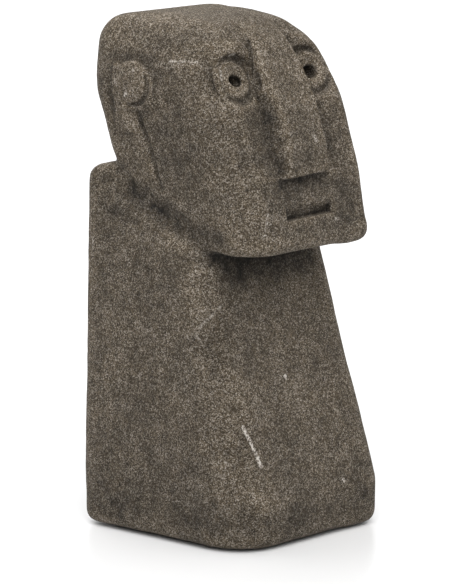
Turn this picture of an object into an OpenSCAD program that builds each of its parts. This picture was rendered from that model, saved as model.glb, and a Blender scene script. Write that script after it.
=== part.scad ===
// Hand-carved stone figure. A leaning block of a body carries a large head with
// a plank nose, drilled eyes inside ring grooves, a slit mouth and long ears.
// It is cut from one piece of stone and stands on four felt pads.
// The figure faces -Y, +X is its left side, and z = 0 is the floor.

/* [Body] */
// Overall height, from the floor to the crown
figure_h = 300; // [294:1:312]
// Width of the base across X
base_w = 123.6; // [112:0.2:140]
// Depth of the base along Y
base_d = 132; // [130:0.2:146]
// Plan radius of the base's three crisp corners
corner_r = 14; // [8:1:18]
// Plan radius of the worn corner at the figure's front right
worn_r = 29; // [14:1:34]
// Rounding of the bottom arris
foot_r = 5.5; // [2:0.5:6]
// Height of the upright foot, below the leaning front
foot_h = 25; // [14:1:40]
// Width of the body at the shoulders
shoulder_w = 112.6; // [104:0.2:116]
// Height of the shoulders at the back
shoulder_z = 213; // [208:1:216]
// How far the shoulders draw in from the base's back
shoulder_in = 2.6; // [0:0.2:6]
// How far the front has leaned back where it meets the chin
front_lean = 42; // [30:1:48]

/* [Head] */
// Width of the head at the cheeks
head_w = 107; // [100:1:112]
// Distance of the chin's front from the centre
chin_y = 64; // [58:0.5:65]
// Height of the chin's underside
chin_z = 169.5; // [164:0.5:174]
// Width of the chin
chin_w = 101; // [92:1:108]
// Plan radius of the chin's worn corner, on the figure's right
chin_worn_r = 24; // [8:1:26]
// Plan radius of the worn arris between the face and the right side of the head
face_worn_r = 24; // [13:1:28]
// Radius of the dome that rounds the forehead into the crown
crown_r = 25; // [18:1:28]
// Distance of the nape from the centre
nape_y = 47.5; // [40:0.5:52]
// Height of the nape
nape_z = 216; // [212:1:220]

/* [Nose and mouth] */
// Width of the nose at its tip
nose_w = 38.5; // [30:0.5:42]
// Width of the nose where it runs out into the forehead
nose_top_w = 27.5; // [20:0.5:30]
// Height of the nose's underside
nose_z = 212; // [206:1:218]
// Distance of the nose's tip from the centre
nose_y = 59.5; // [58:0.5:63]
// Width of the mouth
mouth_w = 38; // [28:1:44]
// Height of the mouth's slot
mouth_h = 3.5; // [2:0.5:5]
// Height of the mouth's middle
mouth_z = 190.5; // [186:0.5:196]
// Sideways tilt of the nose's underside and of the mouth, in degrees
lip_tilt = 2; // [0:0.5:4]

/* [Eyes] */
// Distance between the pupils' centres
eye_gap = 65; // [60:0.5:68]
// Height of the eyes
eye_z = 268.8; // [264:0.2:271]
// Distance of the face from the centre at the eyes
eye_y = 36.4; // [35:0.2:38]
// Backward lean of the face at the eyes, in degrees
eye_lean = 28; // [20:1:34]
// Outward turn of the right eye, which follows the worn arris, in degrees
eye_turn = 5; // [0:1:10]
// Depth of the saucer that each eye lies in
saucer_deep = 4; // [2:0.5:5]
// Radius of the saucer's rim
saucer_r = 17; // [14:0.5:18]
// Radius of the ring groove
ring_r = 13.2; // [10:0.2:14]
// Width of the ring groove
ring_w = 5; // [3:0.5:6]
// Diameter of the drilled pupil
pupil_d = 7.2; // [5:0.2:9]
// Depth of the drilled pupil
pupil_deep = 9; // [5:1:14]

/* [Ears] */
// Diameter of the ear's round upper lobe
lobe_d = 22; // [16:1:25]
// Diameter of the lower knuckle behind the lobe
knuckle_d = 20; // [14:1:22]
// How far the lobe stands out from the cheek
lobe_out = 2; // [1:0.5:3]
// Width of the groove that runs down from the lobe
groove_w = 4; // [2:0.5:6]

/* [Pads] */
// Diameter of each felt pad
pad_d = 22; // [16:1:28]
// Thickness of each felt pad
pad_t = 1.5; // [1:0.25:3]
// Distance from the pad's centre to the two nearest sides of the base
pad_inset = 24; // [20:1:32]

/* [Hidden] */
$fn = 96;
// Facets of the rounded corners that are blended together
blend_fn = 24;
stone_colour = "#5e554c";
felt_colour = "#2b2a28";
base_x = base_w / 2;
base_y = base_d / 2;
head_x = head_w / 2;
shoulder_x = shoulder_w / 2;
chin_x = chin_w / 2;
// Rounding of the shoulder's top edge, of the breast, of the neck, of the chin and of the jaw
shoulder_r = 7.5;
breast_r = 14;
neck_r = 6;
chin_r = 6;
jaw_r = 7;
// Height of the breast, where the body's leaning front meets the head
breast_z = 172;
// How far the neck draws in from the shoulders, across and from the nape
neck_in = 6;
// Radius of the sphere that hollows the eye's saucer
saucer_sphere_r = (saucer_r * saucer_r + saucer_deep * saucer_deep) / (2 * saucer_deep);
// Each station of the head is a pair of rounded corners: half width, y, z, radius
face_stations = [
    [head_x - 0.5, -49, 210.5, 7],
    [head_x + 0.5, -34.5, 251.5, 7.5],
    [head_x - 1, -19, figure_h - 29, 12]
];
skull_stations = [
    [head_x - 5.5, -9, figure_h - 26.5, crown_r - 1],
    [head_x - 3.5, 9.5, figure_h - crown_r, crown_r],
    [head_x - 1.5, 47, figure_h - 18.3, 18],
    [head_x + 0.5, 50, 259, 12],
    [head_x - 0.5, nape_y - 8, nape_z + 7, 8],
    [head_x - 1.5, -2, chin_z + 13, jaw_r]
];
// Heights where the nose starts to narrow and where it runs out into the forehead
nose_taper_z = nose_z + 50;
nose_top_z = 290;
// Plane inside the head where the nose's block ends
nose_root_y = -20;
// How far the nose's underside rises from its middle to its left edge
nose_rise = nose_w / 2 * tan(lip_tilt);
// Side outline of the nose's front, from its tip up to the forehead: y, z
nose_front = [
    [-nose_y, nose_z - nose_rise],
    [-57, 230],
    [-49, 252],
    [-42.8, 265],
    [-29.5, nose_top_z]
];
// Length of the mouth's cutter along Y, half of it ahead of the chin
mouth_cutter = 18;
// Depth of the ear's discs below the lobe's face, and the step down to the knuckle's face
ear_root = 6;
knuckle_step = 0.6;
// Centres of the ear's lobe and of its knuckle, and the two ends of its groove: y, z
lobe_at = [25.5, 262];
knuckle_at = [38.5, 263];
groove_top = [24.5, 249.5];
groove_foot = [4.5, 204];

// A ball, the rounded corner of a block
module ball(at, r) {
    translate(at) sphere(r, $fn = blend_fn);
}

// A matching ball on each side of the figure
module pair(x, y, z, r) {
    for (side = [-1, 1]) ball([side * (x - r), y, z], r);
}

// A quarter turn of balls, a corner of plan radius plan_r at the front right
module worn_corner(x, y, z, plan_r, r) {
    for (turn = [180 : 22.5 : 270])
        ball([x + plan_r + (plan_r - r) * cos(turn), y + plan_r + (plan_r - r) * sin(turn), z], r);
}

// One level of the foot: three crisp corners and the worn one
module foot_level(z) {
    inset = corner_r - foot_r;
    worn_corner(-base_x, -base_y, z, worn_r, foot_r);
    for (at = [[1, -1], [-1, 1], [1, 1]]) for (turn = [0 : 30 : 90])
        ball([
            at.x * (base_x - corner_r + inset * cos(turn)),
            at.y * (base_y - corner_r + inset * sin(turn)),
            z
        ], foot_r);
}

module body_block() {
    hull() {
        foot_level(pad_t + foot_r);
        foot_level(foot_h);
        pair(shoulder_x, base_y - shoulder_in - shoulder_r, shoulder_z - shoulder_r, shoulder_r);
        pair(shoulder_x, -base_y + front_lean + breast_r, breast_z, breast_r);
        pair(shoulder_x - neck_in, nape_y - neck_in - neck_r, nape_z - neck_r, neck_r);
    }
}

module head_block() {
    hull() {
        ball([chin_x - chin_r, -chin_y + chin_r, chin_z + chin_r], chin_r);
        worn_corner(-chin_x, -chin_y, chin_z + chin_r, chin_worn_r, chin_r);
        for (s = face_stations) {
            ball([s[0] - s[3], s[1], s[2]], s[3]);
            worn_corner(-s[0], s[1] - s[3], s[2], face_worn_r, s[3]);
        }
        for (s = skull_stations) pair(s[0], s[1], s[2], s[3]);
    }
}

// The nose is where its side outline and its front outline cross
module nose() {
    // How far the front outline runs past the nose's top
    overrun = 4;
    intersection() {
        rotate([90, 0, 90]) translate([0, 0, -nose_w])
            linear_extrude(2 * nose_w) polygon(concat(nose_front, [
                [nose_root_y, nose_top_z],
                [nose_root_y, nose_z - nose_rise]
            ]));
        rotate([90, 0, 0]) linear_extrude(2 * nose_y) polygon([
            [-nose_w / 2, nose_z - nose_rise],
            [nose_w / 2, nose_z + nose_rise],
            [nose_w / 2, nose_taper_z],
            [nose_top_w / 2, nose_top_z + overrun],
            [-nose_top_w / 2, nose_top_z + overrun],
            [-nose_w / 2, nose_taper_z]
        ]);
    }
}

module mouth() {
    translate([0, -chin_y, mouth_z]) rotate([0, -lip_tilt, 0])
        cube([mouth_w, mouth_cutter, mouth_h], center = true);
}

// Places its children on the face at one eye, with +Z pointing out of the stone
module at_eye(side) {
    translate([side * eye_gap / 2, -eye_y, eye_z])
        rotate([90 - eye_lean, 0, side < 0 ? -eye_turn : 0]) children();
}

module eye_saucer() {
    translate([0, 0, saucer_sphere_r - saucer_deep]) sphere(saucer_sphere_r);
}

module eye_cuts() {
    // How far the drill's path runs out of the face
    clear = 10;
    translate([0, 0, -saucer_deep / 2]) rotate_extrude() translate([ring_r, 0]) circle(d = ring_w);
    translate([0, 0, -saucer_deep - pupil_deep])
        cylinder(h = pupil_deep + saucer_deep + clear, d = pupil_d);
}

// Places its children at a point on one side of the head, with +Z pointing outward
module at_cheek(side, at) {
    translate([side * head_x, at.x, at.y]) rotate([0, side * 90, 0]) children();
}

module ear(side) {
    at_cheek(side, lobe_at) translate([0, 0, lobe_out - ear_root])
        cylinder(h = ear_root, d = lobe_d);
    at_cheek(side, knuckle_at) translate([0, 0, lobe_out - knuckle_step - ear_root])
        cylinder(h = ear_root, d = knuckle_d);
}

module ear_groove(side) {
    fall = groove_foot - groove_top;
    translate([side * head_x, groove_top.x, groove_top.y])
        rotate([atan2(-fall.x, fall.y), 0, 0]) cylinder(h = norm(fall), d = groove_w);
}

module stone_figure() color(stone_colour) {
    difference() {
        union() {
            body_block();
            difference() {
                head_block();
                for (side = [-1, 1]) at_eye(side) eye_saucer();
            }
            nose();
            for (side = [-1, 1]) ear(side);
        }
        for (side = [-1, 1]) {
            at_eye(side) eye_cuts();
            ear_groove(side);
        }
        mouth();
    }
}

// One felt pad, at the corner of the base on the given sides
module pad(x_side, y_side) {
    color(felt_colour) translate([x_side * (base_x - pad_inset), y_side * (base_y - pad_inset), 0])
        cylinder(h = pad_t, d = pad_d);
}

module pad_front_right() pad(-1, -1);
module pad_front_left() pad(1, -1);
module pad_rear_right() pad(-1, 1);
module pad_rear_left() pad(1, 1);

stone_figure();
pad_front_right();
pad_front_left();
pad_rear_right();
pad_rear_left();
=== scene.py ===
import math

import bmesh
import bpy
import numpy as np
import openvdb as vdb
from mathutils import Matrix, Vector


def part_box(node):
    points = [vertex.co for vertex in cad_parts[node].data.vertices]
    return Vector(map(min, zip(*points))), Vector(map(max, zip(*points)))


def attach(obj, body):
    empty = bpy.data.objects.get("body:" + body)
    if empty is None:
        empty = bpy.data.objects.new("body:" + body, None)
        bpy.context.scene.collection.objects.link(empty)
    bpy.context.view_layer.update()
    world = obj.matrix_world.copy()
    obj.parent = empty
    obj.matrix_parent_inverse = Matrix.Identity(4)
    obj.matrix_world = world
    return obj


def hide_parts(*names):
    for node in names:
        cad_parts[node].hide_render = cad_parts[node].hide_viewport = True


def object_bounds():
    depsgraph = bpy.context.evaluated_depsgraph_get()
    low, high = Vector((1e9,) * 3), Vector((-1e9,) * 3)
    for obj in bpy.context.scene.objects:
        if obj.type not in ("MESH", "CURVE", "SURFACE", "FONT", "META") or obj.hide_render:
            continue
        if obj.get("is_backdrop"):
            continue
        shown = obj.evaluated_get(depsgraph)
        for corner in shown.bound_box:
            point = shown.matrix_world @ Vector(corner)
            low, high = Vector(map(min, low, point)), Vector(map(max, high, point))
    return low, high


# Looks of a hand-carved stone figure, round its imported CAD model. The four felt pads under
# it are assumed: the photograph shows none.
# The figure faces -Y, +X is its left side, z = 0 is the floor, and lengths are in metres.
# The stone is carved in a grid of signed distances: its arrises are worn, its faces are
# made uneven, and its ears, eyes and chips are cut. Then it becomes one mesh again.

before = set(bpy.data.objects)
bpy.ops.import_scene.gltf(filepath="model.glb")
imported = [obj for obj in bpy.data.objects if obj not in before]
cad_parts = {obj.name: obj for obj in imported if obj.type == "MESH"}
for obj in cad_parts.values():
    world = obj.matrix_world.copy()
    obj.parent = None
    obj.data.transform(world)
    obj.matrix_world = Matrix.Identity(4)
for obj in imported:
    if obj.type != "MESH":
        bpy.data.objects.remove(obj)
cad_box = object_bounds()

MM = 0.001

# Camera
VIEW_AZIMUTH = math.radians(-47.85)
VIEW_PITCH = math.radians(10.22)
VIEW_DISTANCE = 2.253
VIEW_TARGET = Vector((-0.0016, 0.0017, 0.1375))
VIEW_LENS = 238.6

# Grid that the stone is carved in
VOXEL = 0.8 * MM
BAND_VOXELS = 9
MARGIN_VOXELS = 3
STONE_TRIANGLES = 190_000


# ---------------------------------------------------------------- carving in a grid

def read(items, name, size, kind):
    """One property of a mesh's items as an array with size values for each."""
    values = np.empty(len(items) * size, kind)
    items.foreach_get(name, values)
    return values.reshape(-1, size)


def smooth_max(a, b, blend):
    """The larger of two fields, rounded over where they cross."""
    overlap = np.clip(blend - np.abs(a - b), 0, None)
    return np.maximum(a, b) + overlap * overlap / (4 * blend)


def blurred(field, radius):
    """The field after a Gaussian blur of this radius in voxels."""
    reach = int(math.ceil(2.5 * radius))
    weights = np.exp(-0.5 * (np.arange(-reach, reach + 1) / radius) ** 2)
    weights /= weights.sum()
    for axis in range(3):
        pad = [(reach, reach) if a == axis else (0, 0) for a in range(3)]
        padded = np.pad(field, pad, mode="edge")
        total = np.zeros_like(field)
        for step, weight in enumerate(weights):
            window = [slice(None)] * 3
            window[axis] = slice(step, step + field.shape[axis])
            total += np.float32(weight) * padded[tuple(window)]
        field = total
    return field


def ramp(values, start, end):
    """0 at start, 1 at end, with a smooth step between."""
    t = np.clip((values - start) / (end - start), 0, 1)
    return t * t * (3 - 2 * t)


class Carving:
    """A solid as signed distances in metres on a grid, negative inside."""

    def __init__(self, source):
        mesh = source.data
        mesh.calc_loop_triangles()
        grid = vdb.FloatGrid.createLevelSetFromPolygons(
            read(mesh.vertices, "co", 3, np.float32),
            triangles=read(mesh.loop_triangles, "vertices", 3, np.int32).astype(np.uint32),
            transform=vdb.createLinearTransform(voxelSize=VOXEL),
            halfWidth=BAND_VOXELS,
        )
        low, high = grid.evalActiveVoxelBoundingBox()
        self.first = np.array(low) - MARGIN_VOXELS
        shape = np.array(high) + MARGIN_VOXELS + 1 - self.first
        self.field = np.empty(shape, np.float32)
        grid.copyToArray(self.field, ijk=tuple(int(v) for v in self.first))

    def window(self, low, high):
        """The slices of the grid inside a box, with its x, y and z coordinates."""
        low_at = np.floor(np.array(low) / VOXEL).astype(int) - self.first
        high_at = np.ceil(np.array(high) / VOXEL).astype(int) + 1 - self.first
        low_at = np.clip(low_at, 0, self.field.shape)
        high_at = np.clip(high_at, 0, self.field.shape)
        slices = tuple(slice(a, b) for a, b in zip(low_at, high_at))
        steps = [(np.arange(a, b) + f) * VOXEL for a, b, f in zip(low_at, high_at, self.first)]
        x, y, z = np.ix_(*[s.astype(np.float32) for s in steps])
        return slices, x, y, z

    def whole(self):
        """The coordinates of the whole grid."""
        reach = np.array(self.field.shape) * VOXEL
        low = self.first * VOXEL
        return self.window(low, low + reach)[1:]

    def cut(self, shape, low, high, blend):
        """Takes a shape, a function of x, y and z, out of the solid inside a box."""
        slices, x, y, z = self.window(low, high)
        self.field[slices] = smooth_max(self.field[slices], -shape(x, y, z), blend)

    def add(self, shape, low, high, blend):
        """Adds a shape, a function of x, y and z, to the solid inside a box."""
        slices, x, y, z = self.window(low, high)
        self.field[slices] = -smooth_max(-self.field[slices], -shape(x, y, z), blend)

    def first_inside(self, axis, step, others):
        """Where a line along an axis first enters the solid, coming from one end."""
        at = [int(round(v / VOXEL)) - f for v, f in zip(others, np.delete(self.first, axis))]
        row = np.moveaxis(self.field, axis, 0)[(slice(None), *at)]
        inside = np.nonzero(row < 0)[0]
        edge = inside[0] if step > 0 else inside[-1]
        outer, inner = row[edge - step], row[edge]
        return (edge - step * inner / (inner - outer) + self.first[axis]) * VOXEL

    def side_at(self, side, y, z):
        """The x of the solid's surface on one side, at a depth and height."""
        return self.first_inside(0, -side, (y, z))

    def front_at(self, x, z):
        """The y of the solid's front surface at a place on the face."""
        return self.first_inside(1, 1, (x, z))

    def nearest(self, point):
        """The point of the solid's surface near a point."""
        at = np.array(point, float)
        steps = np.eye(3) * VOXEL
        for _ in range(4):
            value = self.sample(self.field, at[None])[0]
            ahead, behind = (self.sample(self.field, at + sign * steps) for sign in (1, -1))
            slope = (ahead - behind) / (2 * VOXEL)
            at -= slope * value / max(slope @ slope, 0.1)
        return at

    def sample(self, field, points):
        """The values of a field of this grid at some points."""
        at = points / VOXEL - self.first
        low = np.clip(np.floor(at).astype(int), 0, np.array(field.shape) - 2)
        part = at - low
        total = np.zeros(len(points))
        for corner in np.ndindex(2, 2, 2):
            weight = np.prod(np.where(corner, part, 1 - part), axis=1)
            i, j, k = (low + corner).T
            total += weight * field[i, j, k]
        return total

    def mesh(self, name):
        """The solid's surface as a mesh of at most STONE_TRIANGLES triangles."""
        grid = vdb.FloatGrid(background=BAND_VOXELS * VOXEL)
        grid.transform = vdb.createLinearTransform(voxelSize=VOXEL)
        grid.copyFromArray(self.field, ijk=tuple(int(v) for v in self.first))
        points, quads = grid.convertToQuads(isovalue=0.0)
        mesh = bpy.data.meshes.new(name)
        mesh.from_pydata(points.tolist(), [], quads[:, ::-1].tolist())
        piece = bpy.data.objects.new(name, mesh)
        bpy.context.scene.collection.objects.link(piece)
        thin = piece.modifiers.new("thin", "DECIMATE")
        thin.ratio = min(1.0, STONE_TRIANGLES / (2 * len(quads)))
        graph = bpy.context.evaluated_depsgraph_get()
        piece.data = bpy.data.meshes.new_from_object(piece.evaluated_get(graph))
        piece.data.name = name
        piece.modifiers.clear()
        bpy.data.meshes.remove(mesh)
        piece.data.shade_smooth()
        return piece


def lattice_noise(shape, cell_voxels, seed):
    """Smooth seeded noise from -1 to 1 over a grid, from a coarse lattice of random values."""
    coarse_shape = [int(n / cell_voxels) + 4 for n in shape]
    noise = np.random.default_rng(seed).uniform(-1, 1, coarse_shape).astype(np.float32)
    for count, coarse in zip(shape, coarse_shape):
        at = np.arange(count) / cell_voxels + 1
        base = np.floor(at).astype(int)
        t = at - base
        spread = np.zeros((count, coarse), np.float32)
        # Weights of a cubic B-spline on the four lattice points round each voxel
        for step, weight in enumerate((
            (1 - t) ** 3 / 6,
            (3 * t**3 - 6 * t**2 + 4) / 6,
            (-3 * t**3 + 3 * t**2 + 3 * t + 1) / 6,
            t**3 / 6,
        )):
            spread[np.arange(count), base - 1 + step] = weight
        noise = np.tensordot(noise, spread, axes=(0, 1))
    return noise / np.abs(noise).max()


def curve_through(points, steps=6):
    """A smooth curve through some points, as a longer list of points."""
    points = [np.array(p, float) for p in points]
    ends = [2 * points[0] - points[1]] + points + [2 * points[-1] - points[-2]]
    curve = []
    for a, b, c, d in zip(ends, ends[1:], ends[2:], ends[3:]):
        for t in np.arange(steps) / steps:
            curve.append(0.5 * (
                2 * b + (c - a) * t + (2 * a - 5 * b + 4 * c - d) * t**2
                + (3 * b - a - 3 * c + d) * t**3
            ))
    return curve + [points[-1]]


def tube(route, radii):
    """The distance function of a tube along a route, with a radius at each point."""
    def shape(x, y, z):
        nearest = np.float32(1)
        for start, end, r0, r1 in zip(route, route[1:], radii, radii[1:]):
            along = (end - start).astype(np.float32)
            dx, dy, dz = x - start[0], y - start[1], z - start[2]
            t = np.clip((dx * along[0] + dy * along[1] + dz * along[2]) / (along @ along), 0, 1)
            gap = np.sqrt(
                (dx - t * along[0]) ** 2 + (dy - t * along[1]) ** 2 + (dz - t * along[2]) ** 2
            )
            nearest = np.minimum(nearest, gap - (r0 + t * (r1 - r0)))
        return nearest.astype(np.float32)
    return shape


def ellipsoid(centre, radii):
    """The distance function of an ellipsoid, near enough for a soft cut."""
    def shape(x, y, z):
        reach = np.sqrt(sum(
            ((v - c) / r) ** 2 for v, c, r in zip((x, y, z), centre, radii)
        ))
        return (reach - 1) * min(radii)
    return shape


# ---------------------------------------------------------------- the stone's form

EYE_X = {-1: -32.5 * MM, 1: 33.8 * MM}
EYE_Y, EYE_Z = -36.4 * MM, 268.8 * MM
EYE_LEAN = math.radians(28)
RIGHT_EYE_TURN = math.radians(-5)
RING_R = 13.2 * MM
NOSE_Z = 212 * MM
MOUTH_Z = 190.5 * MM
LIP_SLOPE = math.tan(math.radians(2))
# Half width of the nose at some heights, and how far the face beside it is sunk
NOSE_HEIGHTS = np.array((212, 232, 246, 262, 284, 290)) * MM
NOSE_HALVES = np.array((19.25, 19.25, 19.25, 19.25, 15.4, 14.4)) * MM
NOSE_SINKS = np.array((0.6, 1.0, 2.2, 1.5, 1.7, 0.4)) * MM
# Side outline of the nose's front: heights and places along Y
NOSE_FRONT_HEIGHTS = np.array((212, 230, 252, 265, 290)) * MM
NOSE_FRONTS = np.array((-59.5, -57, -49, -42.8, -29.5)) * MM
# How much the whole stone, the chin's left, the left brow and the back of the head grow
# again after the blur has drawn their arrises in
GROWTH, CHIN_GROWTH, BROW_GROWTH, BACK_GROWTH = 0.45 * MM, 0.8 * MM, 1.4 * MM, 1.0 * MM
# Each pupil's lean toward its side in degrees, half width and half height
PUPILS = {-1: (25, 4.3 * MM, 3.8 * MM), 1: (0, 4.7 * MM, 3.9 * MM)}
PUPIL_DEEP = 12 * MM
# How far a pupil's centre moves outward for each degree of lean
PUPIL_SHIFT = 0.07 * MM


def wear_arrises(stone):
    """Rounds the block's arrises, creases and ears, but leaves the face crisper."""
    x, y, z = stone.whole()
    soft = blurred(stone.field, 2.4 * MM / VOXEL)
    crisp = blurred(stone.field, 0.6 * MM / VOXEL)
    face = (1 - ramp(np.abs(x), 44 * MM, 52 * MM)) * (1 - ramp(y, -26 * MM, -16 * MM))
    face = face * ramp(z, 178 * MM, 186 * MM)
    stone.field = (soft + (crisp - soft) * face).astype(np.float32)
    above_foot = ramp(z, 15 * MM, 40 * MM)
    chin = ramp(x, 20 * MM, 36 * MM) * (1 - ramp(z, 178 * MM, 184 * MM))
    chin = chin * (1 - ramp(y, -50 * MM, -40 * MM))
    stone.field -= (GROWTH * above_foot + CHIN_GROWTH * chin).astype(np.float32)


def round_skull(stone):
    """Rounds over the crown, the left brow and the back of the head."""
    x, y, z = stone.whole()
    crown = ramp(z, 285 * MM, 292 * MM) * (1 - ramp(y, 26 * MM, 42 * MM))
    brow = ramp(x, 38 * MM, 48 * MM) * ramp(z, 222 * MM, 244 * MM) * (1 - ramp(y, -4 * MM, 12 * MM))
    brow = brow * (1 - ramp(z, 274 * MM, 288 * MM))
    back = ramp(y, 42 * MM, 48 * MM) * ramp(z, 226 * MM, 240 * MM)
    back = back * (1 - ramp(z, 260 * MM, 282 * MM))
    share = np.maximum(crown, np.maximum(brow, back))
    round_over = blurred(stone.field, 6.5 * MM / VOXEL)
    stone.field += ((round_over - stone.field) * share).astype(np.float32)
    stone.field -= np.maximum(BROW_GROWTH * brow, BACK_GROWTH * back).astype(np.float32)


def make_uneven(stone):
    """Gives the faces the slow waves, the tool's dents and the coarse grain of hand carving."""
    shape = stone.field.shape
    for cell, height, seed in (
        (34 * MM, 0.45 * MM, 11),
        (13 * MM, 0.22 * MM, 12),
        (5 * MM, 0.12 * MM, 13),
        (2.2 * MM, 0.12 * MM, 14),
    ):
        stone.field += np.float32(height) * lattice_noise(shape, cell / VOXEL, seed)


def groove(stone, route, radii, blend):
    """Cuts a tube along a route out of the stone."""
    reach = np.max(radii) + 3 * VOXEL
    stone.cut(tube(route, radii), np.min(route, 0) - reach, np.max(route, 0) + reach, blend)


def side_route(stone, side, outline, lift):
    """Points on one side of the stone at some depths and heights, lifted off its surface."""
    return [np.array((stone.side_at(side, y, z) + side * lift, y, z)) for y, z in outline]


def swell_ears(stone):
    """Raises each ear: its round lobe and a small knuckle under it."""
    for side in (-1, 1):
        for y, z, wide, out in (
            (25.5 * MM, 262.5 * MM, 10.5 * MM, 1.2 * MM),
            (29.5 * MM, 244.0 * MM, 5.5 * MM, 1.1 * MM),
        ):
            centre = (stone.side_at(side, y, z), y, z)
            reach = np.array((out, wide, wide)) + 4 * MM
            stone.add(ellipsoid(centre, (out, wide, wide)), centre - reach, centre + reach, 3 * MM)


def cut_ears(stone):
    """Cuts the groove round each ear's lobe and the line that falls from it to the jaw."""
    lobe_y, lobe_z, lobe_r = 25.5 * MM, 262 * MM, 12 * MM
    turns = np.radians(np.arange(150, 300, 15))
    rim = [(lobe_y + lobe_r * math.cos(a), lobe_z + lobe_r * math.sin(a)) for a in turns]
    line = curve_through([
        (23 * MM, 251 * MM), (19.5 * MM, 239 * MM), (14 * MM, 227 * MM),
        (8.5 * MM, 212 * MM), (4.7 * MM, 203 * MM)
    ])
    for side in (-1, 1):
        for outline, width, deep in ((rim, 1.7 * MM, 1.6 * MM), (line, 1.5 * MM, 1.3 * MM)):
            along = np.linspace(0, 1, len(outline))
            radii = width * (0.35 + 0.65 * np.sin(math.pi * np.clip(along * 0.8 + 0.1, 0, 1)))
            groove(stone, side_route(stone, side, outline, width - deep), radii, 1.2 * MM)


def cut_neck(stone):
    """Deepens the crease between the head and the shoulders on each side."""
    outline = curve_through([
        (46 * MM, 208.5 * MM), (28 * MM, 201.5 * MM), (7 * MM, 192 * MM),
        (-14 * MM, 183 * MM), (-34 * MM, 175 * MM)
    ])
    lift, blend = 7.8 * MM, 5.0 * MM
    radii = 9.0 * MM * np.linspace(0.76, 1.08, len(outline))
    for side in (-1, 1):
        groove(stone, side_route(stone, side, outline, lift), radii, blend)


def melt_brow(stone):
    """Melts the top of the nose into the forehead."""
    slices, x, y, z = stone.window((-26 * MM, -60 * MM, 270 * MM), (26 * MM, 0, 303 * MM))
    part = stone.field[slices]
    share = ramp(z, 280 * MM, 289 * MM) * (1 - ramp(np.abs(x), 18 * MM, 24 * MM))
    stone.field[slices] = part + (blurred(part, 3.6 * MM / VOXEL) - part) * share


def sink_beside_nose(stone):
    """Lowers the face beside and under the nose, so that it stands out like a plank."""
    slices, x, y, z = stone.window((-52 * MM, -75 * MM, 186 * MM), (52 * MM, -14 * MM, 296 * MM))
    gap = np.abs(x) - np.interp(z, NOSE_HEIGHTS, NOSE_HALVES)
    deep = np.interp(z, NOSE_HEIGHTS, NOSE_SINKS, left=0)
    beside = deep * ramp(gap, -0.3 * MM, 0.5 * MM) * (1 - ramp(gap, 3 * MM, 18 * MM))
    extra_on_left = 0.8
    beside = beside * (1 + extra_on_left * (x > 0))
    drop = NOSE_Z + x * LIP_SLOPE - z
    under = 0.9 * MM * ramp(drop, -0.3 * MM, 0.5 * MM) * (1 - ramp(drop, 2 * MM, 15 * MM))
    under = under * (1 - ramp(np.abs(x), 18 * MM, 26 * MM))
    front = 1 - ramp(y, -22 * MM, -14 * MM)
    stone.field[slices] += ((beside + under) * front).astype(np.float32)


def line_nose(stone):
    """Scores the thin line that parts the top of the nose from the right eye."""
    heights = np.array((287, 281, 275, 269, 262, 254)) * MM
    across = -np.interp(heights, NOSE_HEIGHTS, NOSE_HALVES) - 0.5 * MM
    route = [np.array((x, stone.front_at(x, z) - 0.1 * MM, z)) for x, z in zip(across, heights)]
    groove(stone, route, np.array((0.7, 1.2, 1.5, 1.5, 1.3, 0.8)) * MM, 0.5 * MM)


def chamfer_nose(stone):
    """Wears away the nose's right front arris from the eyes down."""
    heights = np.array((210, 216, 228, 246, 258, 268)) * MM
    fronts = np.interp(heights, NOSE_FRONT_HEIGHTS, NOSE_FRONTS)
    # How much of the nose's front and of its side wall is worn away at each height
    across = np.array((3.0, 4.0, 6.0, 6.5, 3.5, 0.5)) * MM
    back = np.array((2.5, 3.5, 5.5, 8.0, 7.0, 1.0)) * MM

    def corner(x, y, z):
        a, b, front = (np.interp(z, heights, v) for v in (across, back, fronts))
        reach = (x + NOSE_HALVES[0]) / a + (y - front) / b - 1
        return np.maximum(reach * a * b / np.hypot(a, b), -NOSE_HALVES[0] - 0.5 * MM - x)

    stone.cut(corner, (-24 * MM, -66 * MM, 206 * MM), (-6 * MM, -30 * MM, 270 * MM), 1.2 * MM)


def eye_frame(side):
    """One eye's centre and its directions: across the face, up the face and out of it."""
    turn = RIGHT_EYE_TURN if side < 0 else 0.0
    across = np.array((math.cos(turn), math.sin(turn), 0))
    out = np.array((
        math.sin(turn) * math.cos(EYE_LEAN), -math.cos(turn) * math.cos(EYE_LEAN), math.sin(EYE_LEAN)
    ))
    return np.array((EYE_X[side], EYE_Y, EYE_Z)), across, np.cross(out, across), out


def ring_route(side, first, last, sunk):
    """Part of one eye's ring: 0 degrees is beside the nose and 90 is the top."""
    centre, across, up, out = eye_frame(side)
    turns = np.radians(np.arange(first, last + 1, 15))
    return [
        centre + RING_R * (-side * math.cos(a) * across + math.sin(a) * up) - sunk * out
        for a in turns
    ]


def pupil_hole(side):
    """One pupil's centre and the distance function of its oval hole, square to the worn face."""
    centre, across, up, out = eye_frame(side)
    lean, half_across, half_up = PUPILS[side]
    centre = centre - PUPIL_SHIFT * lean * across
    lean = math.radians(lean)
    way_across = across * math.cos(lean) + out * math.sin(lean)
    way_out = out * math.cos(lean) - across * math.sin(lean)

    def hole(x, y, z):
        offset = (x - centre[0], y - centre[1], z - centre[2])
        a, u, o = (sum(o * d for o, d in zip(offset, way)) for way in (way_across, up, way_out))
        wall = (np.sqrt((a / half_across) ** 2 + (u / half_up) ** 2) - 1) * half_up
        return np.maximum(wall, -(o + PUPIL_DEEP)).astype(np.float32)

    return centre, hole


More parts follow.
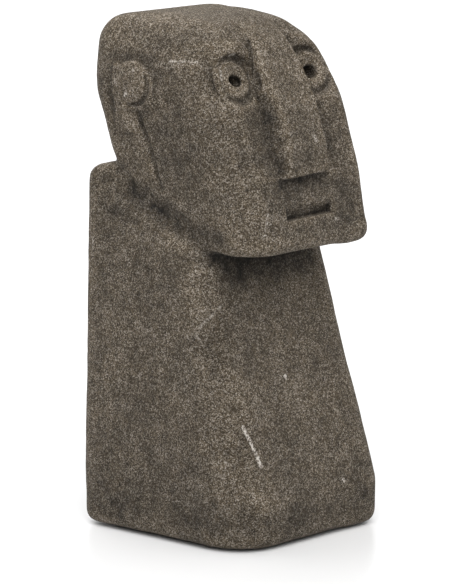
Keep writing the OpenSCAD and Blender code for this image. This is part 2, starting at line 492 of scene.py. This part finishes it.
def cut_eyes(stone):
    """Cuts both pupils, fills the right ring's outer side and opens the rest of each ring."""
    for side in (-1, 1):
        centre, pupil = pupil_hole(side)
        low, high = centre - 18 * MM, centre + 18 * MM
        if side < 0:
            filled = ring_route(side, 150, 210, 4.3 * MM)
            stone.add(tube(filled, np.full(len(filled), 2.2 * MM)), low, high, 1.2 * MM)
        stone.cut(pupil, low, high, 1.0 * MM)
        opened = ring_route(side, -150, 60, 1.9 * MM)
        radii = (1.5 + 1.9 * np.sin(np.linspace(0.3, 2.9, len(opened)))) * MM
        groove(stone, opened, radii, 1.5 * MM)


def cut_mouth(stone):
    """Fills the mouth's plain slot and cuts it again as a ledge under a sloping lip."""
    half, tall = 19 * MM, 4.6 * MM
    # The face's depth is taken over the mouth, and the face leans back by this slope
    over, lean = 8 * MM, 0.13
    front = stone.front_at(0.0, MOUTH_Z + over)
    low_z = MOUTH_Z - 0.5 * tall

    def plug(x, y, z):
        rise = z - MOUTH_Z - x * LIP_SLOPE
        return np.maximum(np.maximum(np.abs(x) - half - MM, np.abs(rise) - 2.6 * MM), front - y)

    def wedge(x, y, z):
        deep = np.interp(x, (-half, 0.7 * half), (0.55 * MM, 1.2 * MM))
        rise = z - low_z - x * LIP_SLOPE
        face = front - (z - MOUTH_Z - over) * lean
        slope = ((y - face) / deep + rise / tall - 1) * deep * tall / math.hypot(1.5 * MM, tall)
        return np.maximum(np.maximum(np.abs(x) - half, -rise), slope)

    low, high = (-24 * MM, front - 4 * MM, 182 * MM), (24 * MM, front + 12 * MM, 200 * MM)
    stone.add(plug, low, high, 0.3 * MM)
    stone.cut(wedge, low, high, 1.6 * MM)
    corner = [(17.5, 190.5), (19.0, 192.5), (20.0, 195.0)]
    route = [np.array((x * MM, stone.front_at(x * MM, z * MM) - 0.3 * MM, z * MM)) for x, z in corner]
    groove(stone, route, np.array((1.3, 1.0, 0.5)) * MM, 0.8 * MM)


def chip(stone):
    """Knocks small chips off the arrises and opens pores in the faces."""
    random = np.random.default_rng(21)
    near = np.abs(stone.field) < 0.5 * VOXEL
    near[:2] = near[-2:] = near[:, :2] = near[:, -2:] = near[:, :, :2] = near[:, :, -2:] = False
    bulge = blurred(stone.field, 3 * MM / VOXEL) - stone.field
    for count, least, small, large, deep in (
        (45, 0.35 * MM, 1.6 * MM, 3.6 * MM, 0.55 * MM),
        (220, -9 * MM, 0.9 * MM, 1.7 * MM, 0.45 * MM),
    ):
        spots = np.argwhere(near & (bulge > least))
        for at in spots[random.integers(0, len(spots), count)]:
            i, j, k = at
            slope = np.array([
                stone.field[i + 1, j, k] - stone.field[i - 1, j, k],
                stone.field[i, j + 1, k] - stone.field[i, j - 1, k],
                stone.field[i, j, k + 1] - stone.field[i, j, k - 1],
            ])
            out = slope / max(np.linalg.norm(slope), 1e-9)
            radii = random.uniform(small, large) * random.uniform(0.7, 1.2, 3)
            centre = (at + stone.first) * VOXEL + out * (radii.mean() - deep * random.uniform(0.4, 1))
            reach = radii.max() + 3 * VOXEL
            stone.cut(ellipsoid(centre, radii), centre - reach, centre + reach, 0.5 * MM)


def carve_stone():
    """The stone as one carved mesh, with what its material needs to know at each point."""
    stone = Carving(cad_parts["stone_figure"])
    wear_arrises(stone)
    round_skull(stone)
    swell_ears(stone)
    cut_ears(stone)
    cut_neck(stone)
    cut_mouth(stone)
    melt_brow(stone)
    sink_beside_nose(stone)
    chamfer_nose(stone)
    line_nose(stone)
    cut_eyes(stone)
    chip(stone)
    make_uneven(stone)
    piece = stone.mesh("carved_stone")
    points = read(piece.data.vertices, "co", 3, np.float64)
    # How far each point stands out from the stone round it: the material pales the arrises with wear and
    # darkens the hollows with dirt and painted shade
    for name, radius in (("fine_wear_and_shade", 1.5 * MM), ("wide_wear_and_shade", 5 * MM)):
        bulge = blurred(stone.field, radius / VOXEL) - stone.field
        values = stone.sample(bulge, points) / radius
        attribute = piece.data.attributes.new(name, "FLOAT", "POINT")
        attribute.data.foreach_set("value", values.astype(np.float32))
    return stone, piece


# ---------------------------------------------------------------- materials

class Nodes:
    """Builds one material's nodes, a line for each."""

    def __init__(self, name):
        self.material = bpy.data.materials.new(name)
        self.material.use_nodes = True
        self.tree = self.material.node_tree
        self.surface = self.tree.nodes["Principled BSDF"]
        self.place = self.add("ShaderNodeTexCoord").outputs["Object"]

    def add(self, kind, links=(), **settings):
        node = self.tree.nodes.new(kind)
        for key, value in settings.items():
            setattr(node, key, value)
        for socket, value in links:
            self.join(node.inputs[socket], value)
        return node

    def join(self, socket, value):
        if isinstance(value, bpy.types.NodeSocket):
            self.tree.links.new(value, socket)
        else:
            socket.default_value = value

    def maths(self, operation, *values, clamp=False):
        node = self.add("ShaderNodeMath", enumerate(values), operation=operation, use_clamp=clamp)
        return node.outputs[0]

    def between(self, value, low, high, to_low=0.0, to_high=1.0):
        """value from low to high, mapped to to_low to to_high and held there."""
        links = enumerate((value, low, high, to_low, to_high))
        return self.add("ShaderNodeMapRange", links, clamp=True).outputs[0]

    def noise(self, size, detail=2.0, rough=0.5, place=None):
        """Smooth noise from about 0.3 to 0.7, with features of this size."""
        links = [
            ("Vector", place or self.place),
            ("Scale", 1 / size),
            ("Detail", detail),
            ("Roughness", rough),
        ]
        return self.add("ShaderNodeTexNoise", links).outputs["Fac"]

    def cells(self, size):
        """Random cells of this size: the node's outputs."""
        links = [("Vector", self.place), ("Scale", 1 / size)]
        return self.add("ShaderNodeTexVoronoi", links).outputs

    def mix(self, share, a, b, blend="MIX"):
        node = self.add("ShaderNodeMix", data_type="RGBA", blend_type=blend)
        self.join(node.inputs["Factor"], share)
        for socket, value in (("A", a), ("B", b)):
            self.join(next(s for s in node.inputs if s.name == socket and s.type == "RGBA"), value)
        return next(s for s in node.outputs if s.type == "RGBA")

    def steps(self, value, stops):
        """A colour ramp through (place, colour) stops."""
        node = self.add("ShaderNodeValToRGB", [("Fac", value)])
        ramp_stops = node.color_ramp.elements
        for index, (at, colour) in enumerate(stops):
            stop = ramp_stops[index] if index < 2 else ramp_stops.new(at)
            stop.position = at
            stop.color = (*colour, 1.0)
        return node.outputs["Color"]

    def attribute(self, name):
        return self.add("ShaderNodeAttribute", attribute_name=name).outputs["Fac"]

    def wobble(self, size, reach):
        """The place moved to and fro by up to this reach, by noise of this size."""
        links = [("Vector", self.place), ("Scale", 1 / size), ("Detail", 2.0)]
        shift = self.add("ShaderNodeTexNoise", links).outputs["Color"]
        centred = self.add("ShaderNodeVectorMath", [(0, shift), (1, (0.5, 0.5, 0.5))], operation="SUBTRACT")
        scaled = self.add(
            "ShaderNodeVectorMath", [(0, centred.outputs[0]), ("Scale", 4 * reach)], operation="SCALE"
        )
        links = [(0, self.place), (1, scaled.outputs[0])]
        return self.add("ShaderNodeVectorMath", links, operation="ADD").outputs[0]

    def streak(self, place, start, end, width):
        """1 on a line between two points, falling to 0 at this distance from it."""
        along = Vector(end) - Vector(start)
        offset = self.add(
            "ShaderNodeVectorMath", [(0, place), (1, start)], operation="SUBTRACT"
        ).outputs[0]
        reach = self.add(
            "ShaderNodeVectorMath", [(0, offset), (1, along)], operation="DOT_PRODUCT"
        ).outputs["Value"]
        share = self.maths("DIVIDE", reach, along.length_squared, clamp=True)
        foot = self.add(
            "ShaderNodeVectorMath", [(0, along), ("Scale", share)], operation="SCALE"
        ).outputs[0]
        gap = self.add(
            "ShaderNodeVectorMath", [(0, offset), (1, foot)], operation="DISTANCE"
        ).outputs["Value"]
        return self.between(gap, width, 0.0)


def grey(level, warmth=1.0):
    """A stone colour of this brightness, warm brown-grey at warmth 1."""
    return (level * (1 + 0.28 * warmth), level, level * (1 - 0.33 * warmth))


# Scratches and chipped spots that show paler stone. Each has points near the surface in
# millimetres, its half width in millimetres and its strength. A scratch script found most of
# the places, by following the photograph's view back to the stone.
SCRATCHES = (
    # Temple, between the ear and the eye
    (((-51.5, -0.5, 276.9), (-46.5, -17.5, 276.7)), 1.0, 0.8),
    # High on the body's right front arris, under the chin
    (((-44.3, -33.2, 139.5), (-55.8, -26.8, 127.6)), 1.3, 0.28),
    (((-57.0, -25.2, 123.6), (-56.1, -28.6, 119.3)), 1.1, 0.32),
    # On and beside the right ear's lobe
    (((-55.5, 28.1, 258.4), (-55.5, 29.5, 255.5)), 1.6, 0.8),
    (((-55.5, 22.6, 269.8), (-55.5, 24.0, 269.0)), 1.2, 0.6),
    (((-54.9, 37.3, 263.9), (-54.9, 36.4, 262.0)), 1.2, 0.6),
    # Rear of the right side, below the neck
    (((-57.0, 55.0, 170.5), (-57.0, 55.0, 164.0)), 1.0, 0.7),
    # Face, right of the mouth
    (((-33.7, -59.2, 193.8), (-38.1, -60.1, 180.8)), 1.0, 0.7),
    # Long scratch low on the front's right, strongest at its foot
    (((-45.3, -50.8, 71.6), (-42.3, -55.0, 60.7), (-39.3, -58.4, 50.3)), 1.5, 1.1),
    (((-40.3, -57.8, 54.0), (-39.1, -58.6, 49.0)), 1.7, 1.4),
    # Small pale spots on the front
    (((-4.5, -46.6, 94.3), (-4.3, -46.6, 94.1)), 1.5, 4.0),
    (((26.1, -64.6, 30.7), (26.4, -64.6, 30.5)), 1.5, 2.0),
    # Left end of the mouth
    (((21.8, -61.9, 185.2), (22.4, -61.9, 184.6)), 1.5, 0.7),
    # Front of the nose, low down
    (((9.6, -56.4, 233.0), (10.4, -56.8, 230.5)), 2.0, 0.8),
    # Outer side and top of the right eye's ring
    (((-41.6, -29.5, 273.0), (-42.2, -30.0, 268.5)), 1.9, 0.7),
    (((-30.5, -27.5, 280.5), (-27.5, -27.5, 281.5)), 1.5, 0.6),
)
# Soft patches, given in the same way: some are the stone's own tone, others painted shade and painted
# light. A strength below zero darkens the stone.
PATCHES = (
    # Shade along the crease of the neck
    (((-56.0, 24.0, 199.0), (-56.0, 6.0, 188.0)), 14, -0.26),
    (((-56.0, 4.0, 187.0), (-54.0, -24.0, 173.0)), 15, -0.34),
    (((-54.0, 54.0, 206.0), (-55.0, 30.0, 190.0)), 15, -0.34),
    # Foot of the right side
    (((-60.0, 50.0, 22.0), (-55.0, -50.0, 20.0)), 22, -0.10),
    # Painted shade in the hollow beside the nose
    (((-25.0, -42.0, 252.0), (-26.0, -51.0, 224.0)), 11, -0.20),
    # The body's right front arris, below the chin
    (((-48.0, -26.0, 148.0), (-50.0, -42.0, 92.0)), 13, -0.18),
    # Side of the head in front of the right ear, and a pale spot low on the ear
    (((-53.0, 20.0, 240.0), (-53.0, -5.0, 228.0)), 24, -0.16),
    (((-54.0, 31.0, 246.0), (-54.0, 25.0, 236.0)), 6, 0.35),
    # Painted highlight on the top of the body's right side, under the neck, where it catches the light
    (((-56.0, -1.6, 178.7), (-56.0, -4.0, 174.0)), 13, 0.22),
    # Pale foot of the front, at its right corner
    (((-46.3, -60.9, 32.1), (-26.1, -65.8, 26.5)), 10, 0.35),
    # Pale band across the front and the pale middle of the front and of the right side
    (((-51.0, -42.3, 90.9), (46.6, -52.2, 74.3)), 9, 0.16),
    (((0.0, -48.0, 110.0), (0.0, -55.0, 75.0)), 38, 0.20),
    (((-57.0, 10.0, 120.0), (-58.0, 0.0, 70.0)), 34, 0.08),
    # Painted shade on the far side of the nose, and painted light on the bridge above it, which faces up
    (((24.0, -40.0, 276.0), (27.0, -52.0, 228.0)), 13, -0.40),
    (((-2.0, -32.0, 286.0), (0.0, -44.0, 262.0)), 24, 0.24),
    # Round the mouth, and the face under the right eye
    (((-8.0, -60.0, 201.0), (32.0, -62.0, 182.0)), 26, -0.32),
    (((-37.0, -48.0, 240.0), (-40.0, -50.0, 222.0)), 20, -0.34),
    # Painted shade under the chin
    (((-34.0, -26.0, 161.0), (30.0, -28.0, 161.0)), 20, -0.60),
)
# A mark is split into pieces no longer than this, so that it follows the surface
LONGEST_PIECE = 6 * MM


def mark_pieces(stone, points):
    """Short straight pieces that follow a mark over the stone's surface."""
    points = [np.array(p) * MM for p in points]
    for start, end in zip(points, points[1:]):
        count = math.ceil(np.linalg.norm(end - start) / LONGEST_PIECE)
        stops = [stone.nearest(start + (end - start) * k / count) for k in range(count + 1)]
        yield from zip(map(Vector, stops), map(Vector, stops[1:]))


def grain_colour(n, tone, fine):
    """Dark stone with pale grains, from each grain's random tone and a fine noise."""
    spread = n.maths("MULTIPLY_ADD", fine, 1.7, -0.85)
    mixed_tone = n.maths("ADD", tone, spread, clamp=True)
    return n.steps(mixed_tone, (
        (0.0, grey(0.010, 1.3)),
        (1.0, grey(0.220, 0.4)),
        (0.30, grey(0.031, 1.3)),
        (0.62, grey(0.070, 0.9)),
        (0.86, grey(0.115, 0.6)),
    ))


def wear_dirt_and_painted_light(n, height, upward):
    """Mottling, hollows darker with dirt and painted shade, a darker foot, arrises paler with wear, and
    painted light on the tops: 1 is plain stone.
    """
    cloud = n.noise(26 * MM, detail=3, rough=0.6)
    patch = n.noise(7 * MM, detail=3, rough=0.7)
    shade = n.between(cloud, 0.3, 0.7, 0.82, 1.18)
    for tone_change in (
        n.between(patch, 0.3, 0.7, -0.32, 0.32),
        # Arrises paler with wear, hollows darker with dirt and painted shade
        n.between(n.attribute("fine_wear_and_shade"), -0.10, 0.10, -0.22, 0.20),
        n.between(n.attribute("wide_wear_and_shade"), -0.15, 0.15, -0.24, 0.12),
        n.between(height, 0.0, 40 * MM, -0.36, 0.0),
        # Painted light: faces that look up are paler, as if lit from above
        n.between(upward, 0.2, 0.95, 0.0, 0.44),
    ):
        shade = n.maths("ADD", shade, tone_change)
    return shade


def patch_shade(n, shade):
    """The shade with the stone's soft pale and dark patches, painted shade and painted light among them."""
    place = n.wobble(9 * MM, 3 * MM)
    for points, radius, strength in PATCHES:
        streak = n.streak(place, *[Vector(p) * MM for p in points], radius * MM)
        shade = n.maths("MULTIPLY_ADD", streak, strength, shade)
    return shade


def painted_nose_and_pupil_shade(n, shade, sideways):
    """The shade darkened with painted shade on the nose's right wall, where it faces sideways, and deep in
    the pupils.
    """
    # Painted shade on the sideways-facing part of the nose's right wall
    wall = n.streak(n.place, Vector((-20, -41, 256)) * MM, Vector((-20, -54, 214)) * MM, 16 * MM)
    facing = n.between(sideways, -0.45, -0.85)
    shade = n.maths("MULTIPLY_ADD", n.maths("MULTIPLY", wall, facing), -0.12, shade)
    # Painted shade deep inside each pupil
    for side in (-1, 1):
        centre, across, up, out = eye_frame(side)
        ends = Vector(centre - 8 * MM * out), Vector(centre - 14 * MM * out)
        shade = n.maths("MULTIPLY_ADD", n.streak(n.place, *ends, 5.5 * MM), -0.9, shade)
    return n.maths("MAXIMUM", shade, 0.12)


def scratch_share(n, stone):
    """1 where a scratch or chip shows paler stone, broken up by a fine noise."""
    marks = 0.0
    place = n.wobble(1.5 * MM, 0.35 * MM)
    for points, width, strength in SCRATCHES:
        for start, end in mark_pieces(stone, points):
            streak = n.streak(place, start, end, width * MM)
            marks = n.maths("MAXIMUM", marks, n.maths("MULTIPLY", streak, strength))
    broken = n.between(n.noise(1.3 * MM, detail=3, rough=0.7), 0.44, 0.60, 0.0, 1.5)
    return n.maths("MULTIPLY", marks, broken, clamp=True)


def stone_material(stone):
    """Dark coarse-grained stone with pale grains, soft mottling and scratches, painted light on its tops
    and painted shade in its hollows, under the chin and in the pupils.
    """
    n = Nodes("carved_stone")
    grain = n.cells(0.60 * MM)
    tone = n.add("ShaderNodeSeparateColor", [("Color", grain["Color"])]).outputs[0]
    fine = n.noise(0.36 * MM, detail=3, rough=0.75)
    height = n.add("ShaderNodeSeparateXYZ", [("Vector", n.place)]).outputs["Z"]
    normal = n.add("ShaderNodeNewGeometry").outputs["Normal"]
    facing = n.add("ShaderNodeSeparateXYZ", [("Vector", normal)]).outputs
    shade = patch_shade(n, wear_dirt_and_painted_light(n, height, facing["Z"]))
    shade = painted_nose_and_pupil_shade(n, shade, facing["X"])
    level = n.add("ShaderNodeCombineXYZ", enumerate((shade, shade, shade))).outputs[0]
    colour = n.mix(1.0, grain_colour(n, tone, fine), level, "MULTIPLY")
    tint = n.between(n.noise(14 * MM, detail=2), 0.35, 0.65)
    tinted = n.mix(tint, (1.01, 1.0, 0.98, 1), (1.0, 1.0, 1.01, 1))
    colour = n.mix(1.0, colour, tinted, "MULTIPLY")
    colour = n.mix(scratch_share(n, stone), colour, (*grey(0.45, 0.3), 1))
    n.join(n.surface.inputs["Base Color"], colour)
    n.join(n.surface.inputs["Roughness"], n.between(tone, 0.0, 1.0, 0.80, 0.97))
    n.surface.inputs["Specular IOR Level"].default_value = 0.25
    relief = n.maths("MULTIPLY_ADD", grain["Distance"], -0.5, fine)
    bump = n.add("ShaderNodeBump", [("Height", relief), ("Strength", 0.7), ("Distance", 0.45 * MM)])
    n.join(n.surface.inputs["Normal"], bump.outputs[0])
    return n.material


def felt_material():
    """Dark pressed felt with short tangled fibres."""
    n = Nodes("pressed_felt")
    stretched = n.add("ShaderNodeMapping", [("Vector", n.place), ("Scale", (1.0, 3.5, 1.0))]).outputs[0]
    fibres = n.noise(0.7 * MM, detail=4, rough=0.75, place=stretched)
    tufts = n.noise(2.5 * MM, detail=2)
    colour = n.mix(n.between(fibres, 0.3, 0.7), (0.012, 0.012, 0.011, 1), (0.060, 0.057, 0.052, 1))
    colour = n.mix(n.between(tufts, 0.3, 0.7, 0.0, 0.5), colour, (0.030, 0.028, 0.025, 1))
    n.join(n.surface.inputs["Base Color"], colour)
    n.surface.inputs["Roughness"].default_value = 1.0
    n.surface.inputs["Sheen Weight"].default_value = 0.4
    n.surface.inputs["Sheen Roughness"].default_value = 0.6
    bump = n.add("ShaderNodeBump", [("Height", fibres), ("Strength", 0.8), ("Distance", 0.3 * MM)])
    n.join(n.surface.inputs["Normal"], bump.outputs[0])
    return n.material


def floor_material():
    """A pale smooth floor with a soft sheen."""
    n = Nodes("studio_floor")
    tone = n.between(n.noise(0.4, detail=2), 0.3, 0.7)
    n.join(n.surface.inputs["Base Color"], n.mix(tone, (0.85, 0.85, 0.855, 1), (0.865, 0.865, 0.865, 1)))
    n.surface.inputs["Roughness"].default_value = 0.25
    return n.material


# ---------------------------------------------------------------- pieces

# Facets round each felt pad
PAD_STEPS = 96
# Half the floor's width
FLOOR_HALF = 12.0


def pad_outline(radius, thick):
    """Half the pad's section, from its underside round the pressed edge to its top."""
    edge = 0.3 * thick
    outline = [(0.35, 0.0), (0.7, 0.0)]
    for turn in range(-90, 91, 30):
        angle = math.radians(turn)
        straight = (thick / 2 - edge) * (1 if turn > 0 else -1 if turn < 0 else 0)
        share = 1 - (edge / radius) * (1 - math.cos(angle))
        outline.append((share, thick / 2 + straight + edge * math.sin(angle)))
    return outline + [(0.7, thick), (0.35, thick)]


def pad_mesh(name, low, high, seed):
    """A felt disc that fills a box, with a slightly uneven rim."""
    middle = (low + high) / 2
    radius = (high.x - low.x) / 2
    thick = high.z - low.z
    turns = [2 * math.pi * step / PAD_STEPS for step in range(PAD_STEPS)]
    random = np.random.default_rng(seed)
    waves = [(k, random.uniform(0.0, 0.006), random.uniform(0, 2 * math.pi)) for k in (3, 5, 11, 17)]
    mesh = bmesh.new()
    rings = []
    for share, lift in pad_outline(radius, thick):
        ring = []
        for angle in turns:
            dent = 1 - sum(size * (1 + math.sin(k * angle + phase)) for k, size, phase in waves)
            reach = radius * share * dent
            ring.append(mesh.verts.new((
                middle.x + reach * math.cos(angle), middle.y + reach * math.sin(angle), low.z + lift
            )))
        rings.append(ring)
    for inner, outer in zip(rings, rings[1:]):
        for step in range(PAD_STEPS):
            after = (step + 1) % PAD_STEPS
            mesh.faces.new((inner[step], inner[after], outer[after], outer[step]))
    for ring, lift in ((rings[0], 0.0), (rings[-1], thick)):
        hub = mesh.verts.new((middle.x, middle.y, low.z + lift))
        for step in range(PAD_STEPS):
            mesh.faces.new((hub, ring[step], ring[(step + 1) % PAD_STEPS]))
    bmesh.ops.recalc_face_normals(mesh, faces=mesh.faces)
    data = bpy.data.meshes.new(name)
    mesh.to_mesh(data)
    mesh.free()
    data.shade_smooth()
    return data


def felt_pad(node, material, seed):
    """A felt disc in the place of one of the assumed pads."""
    data = pad_mesh("felt_" + node, *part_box(node), seed)
    data.materials.append(material)
    piece = bpy.data.objects.new("felt_" + node, data)
    bpy.context.scene.collection.objects.link(piece)
    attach(piece, "root")
    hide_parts(node)


def make_stone():
    """The carved stone with its material, in place of the CAD stone."""
    stone, piece = carve_stone()
    piece.data.materials.append(stone_material(stone))
    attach(piece, "root")
    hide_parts("stone_figure")


def make_floor():
    """One large pale plane under the figure."""
    mesh = bpy.data.meshes.new("floor")
    corners = [(x * FLOOR_HALF, y * FLOOR_HALF, 0) for x, y in ((-1, -1), (1, -1), (1, 1), (-1, 1))]
    mesh.from_pydata(corners, [], [(0, 1, 2, 3)])
    mesh.materials.append(floor_material())
    floor = bpy.data.objects.new("floor", mesh)
    bpy.context.scene.collection.objects.link(floor)
    floor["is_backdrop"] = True


# Wide soft lights far off: azimuth and elevation in degrees, and strength
LIGHTS = (
    ("key_light", -48, 45, 3.7),
    ("back_light", 180, 50, 1.6),
    ("side_light", 60, 40, 0.8),
    ("top_light", 0, 90, 0.5),
)
# How wide each of them looks from the figure, and the strength of the light from all round
LIGHT_WIDTH = math.radians(65)
WORLD_STRENGTH = 0.03
# White panel behind the figure: width, height, power, distance and height of its middle
BACKDROP_WIDTH, BACKDROP_HEIGHT, BACKDROP_POWER = 10, 4, 110
BACKDROP_DISTANCE, BACKDROP_Z = 5.5, 2.0


def hang_light(name, kind, energy, place, toward):
    """A light of one kind at a place. Its light comes from the direction toward."""
    lamp = bpy.data.lights.new(name, kind)
    lamp.energy = energy
    holder = bpy.data.objects.new(name, lamp)
    holder.location = place
    holder.rotation_euler = toward.to_track_quat("Z", "Y").to_euler()
    bpy.context.scene.collection.objects.link(holder)
    return lamp


def light_scene():
    """Four wide soft lights from above, and a white backdrop that the floor mirrors."""
    world = bpy.data.worlds.new("studio")
    world.use_nodes = True
    world.node_tree.nodes["Background"].inputs["Color"].default_value = (1, 1, 1, 1)
    world.node_tree.nodes["Background"].inputs["Strength"].default_value = WORLD_STRENGTH
    bpy.context.scene.world = world
    for name, azimuth, elevation, strength in LIGHTS:
        turn, lift = math.radians(azimuth), math.radians(elevation)
        toward = Vector((
            math.sin(turn) * math.cos(lift), -math.cos(turn) * math.cos(lift), math.sin(lift)
        ))
        hang_light(name, "SUN", strength, Vector(), toward).angle = LIGHT_WIDTH
    away = Vector((-math.sin(VIEW_AZIMUTH), math.cos(VIEW_AZIMUTH), 0))
    place = BACKDROP_DISTANCE * away + Vector((0, 0, BACKDROP_Z))
    backdrop = hang_light("backdrop", "AREA", BACKDROP_POWER, place, away)
    backdrop.shape = "RECTANGLE"
    backdrop.size, backdrop.size_y = BACKDROP_WIDTH, BACKDROP_HEIGHT
    bpy.context.scene.view_settings.view_transform = "Standard"


def make_camera():
    """The camera, fitted to the photograph's angle and framing."""
    camera = bpy.data.cameras.new("camera")
    camera.lens = VIEW_LENS
    camera.sensor_width = 36
    camera.clip_end = 100
    back = Vector((
        math.sin(VIEW_AZIMUTH) * math.cos(VIEW_PITCH),
        -math.cos(VIEW_AZIMUTH) * math.cos(VIEW_PITCH),
        math.sin(VIEW_PITCH),
    ))
    holder = bpy.data.objects.new("camera", camera)
    holder.location = VIEW_TARGET + back * VIEW_DISTANCE
    holder.rotation_euler = back.to_track_quat("Z", "Y").to_euler()
    bpy.context.scene.collection.objects.link(holder)
    bpy.context.scene.camera = holder


make_camera()
light_scene()
make_floor()
make_stone()
felt = felt_material()
for seed, pad in enumerate(("pad_front_right", "pad_front_left", "pad_rear_right", "pad_rear_left")):
    felt_pad(pad, felt, seed)

boxes = {"cad": cad_box, "visual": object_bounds()}
{name: [list(corner) for corner in box] for name, box in boxes.items()}
